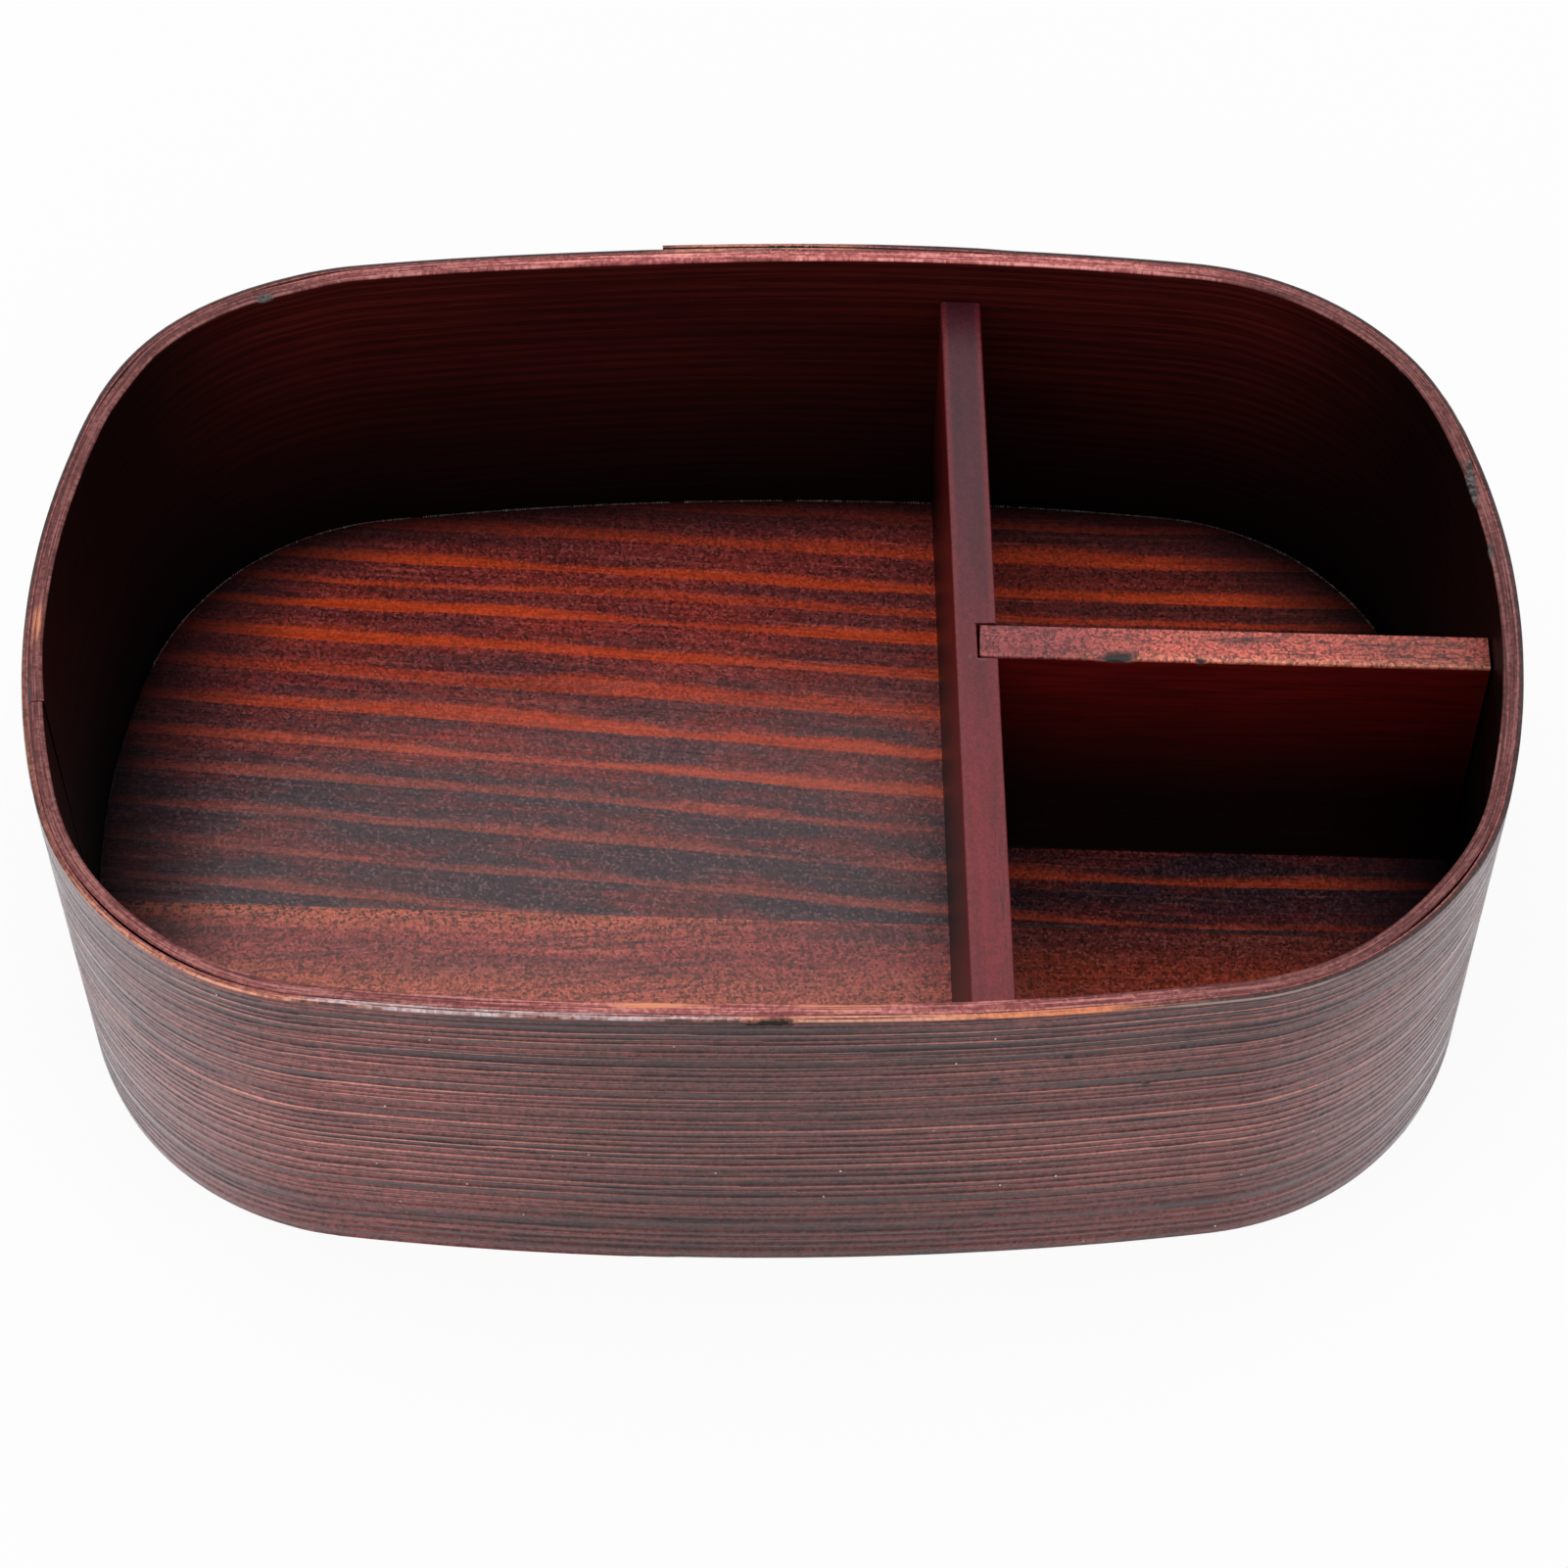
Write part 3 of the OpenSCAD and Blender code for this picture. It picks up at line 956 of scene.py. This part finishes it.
innerPly = {
    "thickness": 1.85 * mm,    # with its glue line
    "inset": 2.85 * mm,        # from the outside of the box to its inner face
    "buttY": -14.8 * mm,
    "buttGap": 0.15 * mm,
    "kink": -0.25 * mm,        # one end of the butt sits a little further in
    "kinkReach": 9 * mm,
    "splits": (  # where the plies have parted
        (math.radians(-128), math.radians(27), -0.28 * mm),
        (math.radians(107.5), math.radians(13), -0.35 * mm),
        (math.radians(149), math.radians(10), -0.3 * mm),
        (math.radians(-41), math.radians(22), -0.3 * mm),
    ),
    "step": 1.8 * mm,
    "nearEdge": 0.3 * mm,
    "farEdge": 0.04 * mm,
    "cells": {"farRows": 12, "nearRows": 80, "topCells": 8},
    "grain": {"Seed": 9.0, "Ring pitch": 1.9 * mm, "Ring crowding": 0.0, "Ring wander": 1.2 * mm,
              "Ring relief": 0.05 * mm, "Fibre relief": 0.05 * mm},
    "nickPush": (0, 0, -0.45),  # mm
    "flamePush": (0, 0, -0.05),
}
innerNicks = (  # place and reach, mm
    ((-71.6, 55.0, 62), (1.2, 1.4, 0.9)),
    ((87.0, 41.0, 62), (1.1, 1.1, 0.9)),
    ((75.0, 51.5, 62), (1.0, 1.0, 0.8)),
    ((95.5, 21.0, 62), (0.8, 5.0, 0.8)),
    ((96.9, 9.6, 62), (0.7, 1.5, 0.8)),
    ((95.6, -11.4, 62), (0.9, 1.1, 0.9)),
)
innerFlames = (  # worn through the stain
    ((-14.3, -61.9, 62), (7.0, 0.8, 1.0)),
    ((8.6, -62.1, 62), (7.0, 0.8, 1.0)),
    ((-98.1, -1.8, 62), (0.75, 3.0, 1.0)),
)


def makeInnerPly():
    size = innerPly
    buttR = plan["shortEndR"] - size["inset"]
    butt = math.pi + math.asin(-size["buttY"] / buttR)
    halfGap = size["buttGap"] / 2 / buttR
    marks = chipPlaces(innerNicks)
    stops = walkWall(size["inset"], butt - halfGap, butt + halfGap - 2 * math.pi, size["step"], marks)
    lean = []
    for place, way, walked, angle in stops:
        facing = (angle + math.pi) % (2 * math.pi) - math.pi
        inward = sum(depth * bump1d(facing, centre, reach) for centre, reach, depth in size["splits"])
        lean.append(leanAt(angle) + inward + size["kink"] * bump1d(walked, 0, size["kinkReach"]))
    foot, outward, along, _ = zip(*stops)
    obj = sweepStrip("innerPly", size, innerVeneer(), rimHeight, size["thickness"],
                     foot, outward, along, [size["thickness"]] * len(stops), lean=lean)
    for place, reach in innerNicks:
        bite(obj, place, reach, size["nickPush"], "chip")
    for place, reach in innerFlames:
        bite(obj, place, reach, size["flamePush"], "bare")
    settle(obj, "box", "inner_veneer", "inner_ply")


# floor boards, cut to the inner line and edge-jointed

floorBoards = {
    "inset": 2.9 * mm,
    "jointGap": 0.02 * mm,
    "columns": 220,
    "tip": 0.6 * mm,             # a column shorter than this is left out
    "ease": 0.03 * mm,
    "relief": 0.1 * mm,
    "reliefGrain": (9 * mm, 0.9 * mm),
    "crowding": 1.15,            # rows lie closer along the joint
    "weld": 0.002 * mm,
    "shade": (9 * mm, 18 * mm),  # how far the painted shade reaches in from the sides and from the ends
}


def wallLightAt(x, y):  # 0 against the wall, 1 out in the open
    inset = floorBoards["inset"]
    spot = Vector((abs(x), abs(y)))
    side, end = floorBoards["shade"]
    share = (plan["longSideR"] - inset - (spot - longCentre).length) / side
    share = min(share, (plan["shortEndR"] - inset - (spot - endCentre).length) / end)
    turn = math.atan2(*(spot - cornerCentre).yx)
    if endTurn < turn < sideTurn:
        reach = lerp(end, side, (turn - endTurn) / (sideTurn - endTurn))
        share = min(share, (plan["cornerR"] - inset - (spot - cornerCentre).length) / reach)
    return clamp(share)


def jointAt(x, side):  # the edge of one board along the joint, 1 behind it and -1 in front
    return floorJoint["y"] + math.tan(floorJoint["turn"]) * x + side * floorBoards["jointGap"] / 2


def frontTip(way):  # how far the front board goes to the right or left before the joint meets the wall
    near, far = 0.0, way * (halfLength - floorBoards["inset"])
    for _ in range(40):
        middle = (near + far) / 2
        if jointAt(middle, -1) > -halfDepthAt(middle, floorBoards["inset"]):
            near = middle
        else:
            far = middle
    return near


def makeFloorBoard(name, node, side, rows, material):
    size = floorBoards
    grainLength, grainBreadth = size["reliefGrain"]
    reach = halfLength - size["inset"]
    left, right = (-reach, reach) if side > 0 else (frontTip(-1), frontTip(1))
    work = bmesh.new()
    grid = []
    for i in range(size["columns"] + 1):
        x = (left + right) / 2 + (right - left) / 2 * math.sin(math.pi / 2 * (2 * i / size["columns"] - 1))
        edge = halfDepthAt(x, size["inset"])
        near = clamp(jointAt(x, side), -edge, edge)
        far = side * edge
        atTip = i in (0, size["columns"])
        if atTip:
            near = far = (near + far) / 2
        elif abs(far - near) < size["tip"]:
            continue
        column = []  # once round the board: along the top, then beneath
        for j in range(rows + 1):
            y = lerp(near, far, (j / rows) ** size["crowding"])
            grain = noise.noise(Vector((x / grainLength, y / grainBreadth, 2.0)))
            z = floorTop - size["relief"] * (1.0 if atTip else 0.5 + 0.5 * grain)
            if j == 0 and not atTip:
                z -= size["ease"]
            column.append(work.verts.new((x, y, z)))
        for y in (far, near):
            column.append(work.verts.new((x, y, floorFoot)))
        grid.append(column)
    for before, after in zip(grid, grid[1:]):
        for corners in zip(before, after, after[1:] + after[:1], before[1:] + before[:1]):
            work.faces.new(corners)
    bmesh.ops.remove_doubles(work, verts=work.verts, dist=size["weld"])
    mesh = bpy.data.meshes.new(name)
    work.to_mesh(mesh)
    work.free()
    nook = mesh.attributes.new("nook", "FLOAT", "POINT")
    nook.data.foreach_set("value", [wallLightAt(vertex.co.x, vertex.co.y) for vertex in mesh.vertices])
    mesh.materials.append(material)
    tidyMesh(mesh)
    obj = bpy.data.objects.new(name, mesh)
    bpy.context.scene.collection.objects.link(obj)
    settle(obj, "box", "floor_wood", node)


# dividers: straight strips that stand on the floor

dividerGrain = {"Ring pitch": 4 * mm, "Ring crowding": 0.0, "Ring wander": 1 * mm, "Ring relief": 0.02 * mm}
longDivider = {
    "thickness": 5.8 * mm,
    "x": 27.6 * mm,
    "skew": math.radians(0.6),
    "endInset": 3.15 * mm,
    "grooveY": 0.7 * mm,
    "grooveWidth": 5.9 * mm,
    "grooveDepth": 2.7 * mm,
    "grooveCells": 5,
    "grooveClear": 0.3 * mm,   # no other station this close to the groove
    "nearEdge": 0.45 * mm,
    "farEdge": 0.45 * mm,
    "cells": {"farRows": 40, "nearRows": 40, "topCells": 10, "edgeCells": 4},
    "step": 1.2 * mm,
    "grain": {**dividerGrain, "Seed": 2.0, "Fibre relief": 0.05 * mm},
}
shortDivider = {
    "thickness": 5.4 * mm,
    "skew": math.radians(-2),
    "tongueGap": 0.3 * mm,
    "nearEdge": 0.35 * mm,
    "farEdge": 0.35 * mm,
    "cells": {"farRows": 40, "nearRows": 60, "topCells": 14, "edgeCells": 4},
    "step": 1 * mm,
    "closeStep": 0.3 * mm,     # beside the chips
    "closeReach": 4 * mm,
    "chips": (                 # place, reach and push, mm
        ((46.5, -2.3, 53.8), (3.3, 1.3, 0.9), (0, 0.2, -0.6)),
        ((57.8, -2.9, 53.8), (0.9, 0.6, 0.6), (0, 0.2, -0.4)),
    ),
    "grain": {**dividerGrain, "Seed": 6.0, "Fibre relief": 0.08 * mm},
}


def turned(angle):  # a level way, and the way to its left
    way = Vector((math.cos(angle), math.sin(angle), 0))
    return way, Vector((-way.y, way.x, 0))


def makeLongDivider():
    size = longDivider
    acrossWay, lengthWay = turned(size["skew"])
    leftFoot = Vector((size["x"], 0, floorTop)) - acrossWay * size["thickness"] / 2

    def endOf(origin, sign):  # walks out from the middle line until the wall's line is met
        t = 0.0
        for _ in range(30):
            spot = origin + lengthWay * t
            t += sign * halfDepthAt(spot.x, size["endInset"]) - spot.y
        return t

    rightFoot = leftFoot + acrossWay * size["thickness"]
    ends = [(endOf(leftFoot, sign), endOf(rightFoot, sign)) for sign in (-1, 1)]
    first, last = ends[0][0], ends[1][0]
    grooveStart = size["grooveY"] - size["grooveWidth"] / 2
    grooveEnd = size["grooveY"] + size["grooveWidth"] / 2
    stations = [(first, False), (last, False)]  # how far along, and whether it's in the groove
    t = first + size["step"] / 2
    while t < last - size["step"] / 2:
        if not grooveStart - size["grooveClear"] < t < grooveEnd + size["grooveClear"]:
            stations.append((t, False))
        t += size["step"]
    sliver = 0.01 * mm
    stations += [(grooveStart - sliver, False), (grooveEnd + sliver, False)]
    cells = size["grooveCells"]
    stations += [(lerp(grooveStart, grooveEnd, i / cells), True) for i in range(cells + 1)]
    stations.sort()
    foot = [leftFoot + lengthWay * t for t, cut in stations]
    outward = [acrossWay.copy() for station in stations]
    for i, (near, far) in zip((0, -1), ends):
        outward[i] = acrossWay + lengthWay * (far - near) / size["thickness"]
    along = [t - first for t, cut in stations]
    inGroove = size["thickness"] - size["grooveDepth"]
    thickness = [inGroove if cut else size["thickness"] for t, cut in stations]
    wood = dividerWood("longDividerWood", longFinish)
    obj = sweepStrip("longDivider", size, wood, dividerHeight, inGroove, foot, outward, along, thickness)
    settle(obj, "long_divider", "divider_wood", "long_divider")


def makeShortDivider():
    size, long = shortDivider, longDivider
    acrossLong, lengthLong = turned(long["skew"])
    mouth = Vector((long["x"], 0, floorTop))
    mouth += acrossLong * long["thickness"] / 2 + lengthLong * long["grooveY"]
    lengthWay, acrossWay = turned(size["skew"])
    start = mouth + lengthWay * (size["tongueGap"] - long["grooveDepth"])
    frontFoot = start - acrossWay * size["thickness"] / 2
    endR = plan["shortEndR"] - long["endInset"]

    def endOf(origin):
        t = 60 * mm  # a first guess
        for _ in range(30):
            spot = origin + lengthWay * t
            t += endCentre.x + math.sqrt(endR ** 2 - spot.y ** 2) - spot.x
        return t

    frontEnd, backEnd = endOf(frontFoot), endOf(frontFoot + acrossWay * size["thickness"])
    marks = chipPlaces(size["chips"])
    along = [0.0]
    while along[-1] < frontEnd - size["step"]:
        spot = frontFoot + lengthWay * along[-1]
        near = min(abs(spot.x - mark.x) for mark in marks)
        along.append(along[-1] + size["closeStep" if near < size["closeReach"] else "step"])
    along.append(frontEnd)
    foot = [frontFoot + lengthWay * t for t in along]
    outward = [acrossWay.copy() for t in along]
    outward[-1] = acrossWay + lengthWay * (backEnd - frontEnd) / size["thickness"]
    wood = dividerWood("shortDividerWood", shortFinish)
    obj = sweepStrip("shortDivider", size, wood, dividerHeight, size["thickness"],
                     foot, outward, along, [size["thickness"]] * len(along))
    for chip in size["chips"]:
        bite(obj, *chip, "chip")
    settle(obj, "short_divider", "divider_wood", "short_divider")


# dried glue, in a broken bead where the back of the floor meets the wall

glueBead = {
    "inset": 3.0 * mm,
    "from": math.radians(28),
    "to": math.radians(162),
    "spacing": 0.36 * mm,
    "radius": 0.12 * mm,
    "smallest": (0.5, 0.5, 0.3),
    "largest": (2.0, 1.4, 0.9),
    "patches": 160.0,          # how closely they follow one another
    "gaps": 0.36,
    "step": 1.5 * mm,
    "seed": 11,
    "colour": srgb(146, 140, 138),
    "dirt": srgb(96, 70, 66),
}


def glueTree():
    tree, given = newTree("glueBead", {
        "Geometry": "Geometry", "Material": "Material",
        "Spacing": "Float", "Radius": "Float", "Seed": "Int",
    })
    line = addNode(tree, "GeometryNodeMeshToCurve", {"Mesh": given["Geometry"]})
    spots = addNode(tree, "GeometryNodeCurveToPoints", mode="LENGTH")
    feed(spots.inputs["Curve"], line.outputs["Curve"])
    feed(spots.inputs["Length"], given["Spacing"])
    blob = addNode(tree, "GeometryNodeMeshIcoSphere", {"Radius": given["Radius"]})
    sizes = addNode(tree, "FunctionNodeRandomValue", {
        0: glueBead["smallest"], 1: glueBead["largest"], "Seed": given["Seed"],
    }, data_type="FLOAT_VECTOR")
    here = wired(tree, "GeometryNodeInputPosition")
    patchy = calc("GREATER_THAN", noiseAt(here, glueBead["patches"], 3.0), glueBead["gaps"])
    placed = addNode(tree, "GeometryNodeInstanceOnPoints", {
        "Points": spots.outputs["Points"], "Selection": patchy, "Instance": blob.outputs["Mesh"],
        "Rotation": spots.outputs["Rotation"], "Scale": sizes.outputs[0],
    })
    endTree(tree, placed.outputs["Instances"], given["Material"])
    return tree


def makeGlueBead():
    bead = glueBead
    material, tree, shader = newWood("driedGlue", 0.5)
    shade = noiseAt(wired(tree, "ShaderNodeTexCoord", output="Object"), 900.0, 2.0)
    feedAll(shader, {
        "Base Color": ramp(shade, (0.35, bead["dirt"]), (0.65, bead["colour"])),
        "Roughness": rescale(shade, 0.35, 0.6),
    })
    stops = walkWall(bead["inset"], bead["from"], bead["to"], bead["step"])
    places = [stop[0] + Vector((0, 0, floorTop)) for stop in stops]
    obj = bpy.data.objects.new("glueBead", lineMesh("glueGuide", places, False, {}))
    mesh = plainMesh(obj, glueTree(), {
        "Spacing": bead["spacing"], "Radius": bead["radius"], "Seed": bead["seed"], "Material": material,
    })
    mesh.shade_smooth()
    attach(obj, "box")
    print("glueBead made:", len(mesh.polygons), "faces")


makeOuterPly()
makeInnerPly()
makeFloorBoard("floorBackBoard", "floor_back_board", 1, 90, floorBackWood())
makeFloorBoard("floorFrontBoard", "floor_front_board", -1, 60, floorFrontWood())
makeLongDivider()
makeShortDivider()
makeGlueBead()


# table, light and camera

stageLook = {
    "size": 6.0,
    "paper": (0.9, 0.9, 0.9, 1),
    "lift": 0.9,      # how far the camera sees the table as plain white
    "surround": 0.8,  # light from all round
    "keyPower": 3.0,
    "keySize": 0.8,
    "keyPlace": (-0.1, -0.15, 1.1),
}


def lightPathShare(tree):  # 1 for what the camera, a reflection or clear glass sees
    path = addNode(tree, "ShaderNodeLightPath").outputs
    seen = calc("MAXIMUM", Wire(path["Is Camera Ray"]), path["Is Glossy Ray"])
    return calc("MAXIMUM", seen, path["Is Transmission Ray"])


def makeStage():
    half = stageLook["size"] / 2
    mesh = bpy.data.meshes.new("table")
    corners = [(-half, -half, 0), (half, -half, 0), (half, half, 0), (-half, half, 0)]
    mesh.from_pydata(corners, [], [(0, 1, 2, 3)])
    table = bpy.data.objects.new("table", mesh)
    bpy.context.scene.collection.objects.link(table)
    material = bpy.data.materials.new("paper")
    material.use_nodes = True
    tree = material.node_tree
    tree.nodes.clear()
    paper = addNode(tree, "ShaderNodeBsdfDiffuse", {"Color": stageLook["paper"]})
    white = addNode(tree, "ShaderNodeEmission")
    seen = wired(tree, "ShaderNodeLightPath", output="Is Camera Ray")
    mix = addNode(tree, "ShaderNodeMixShader", {
        0: seen * stageLook["lift"], 1: paper.outputs[0], 2: white.outputs[0],
    })
    addNode(tree, "ShaderNodeOutputMaterial", {"Surface": mix.outputs[0]})
    mesh.materials.append(material)

    world = bpy.data.worlds.new("tent")
    bpy.context.scene.world = world
    world.use_nodes = True
    tree = world.node_tree
    background = tree.nodes["Background"]
    background.inputs["Color"].default_value = (1, 1, 1, 1)
    feed(background.inputs["Strength"], rescale(lightPathShare(tree), stageLook["surround"], 1.0))

    lamp = bpy.data.lights.new("softbox", "AREA")
    lamp.shape = "SQUARE"
    lamp.size = stageLook["keySize"]
    lamp.energy = stageLook["keyPower"]
    softbox = bpy.data.objects.new("softbox", lamp)
    softbox.location = stageLook["keyPlace"]
    softbox.rotation_euler = (-softbox.location).to_track_quat("-Z", "Y").to_euler()
    bpy.context.scene.collection.objects.link(softbox)


view = {
    "eye": Vector((2.009, -331.713, 503.501)) * mm,
    "down": math.radians(55.515),
    "turn": math.radians(0.093),
    "roll": math.radians(0.227),
    "focal": 4213.6,           # in pixels of the picture's own frame
    "frame": 1601,
}


def makeCamera():
    data = bpy.data.cameras.new("camera")
    data.sensor_width = 36
    data.lens = data.sensor_width * view["focal"] / view["frame"]
    camera = bpy.data.objects.new("camera", data)
    turn = Matrix.Rotation(view["turn"], 4, "Z") @ Matrix.Rotation(math.pi / 2 - view["down"], 4, "X")
    camera.matrix_world = Matrix.Translation(view["eye"]) @ turn @ Matrix.Rotation(-view["roll"], 4, "Z")
    bpy.context.scene.collection.objects.link(camera)
    bpy.context.scene.camera = camera


makeStage()
makeCamera()
bpy.context.scene.view_settings.view_transform = "Standard"
print("table, light and camera set")
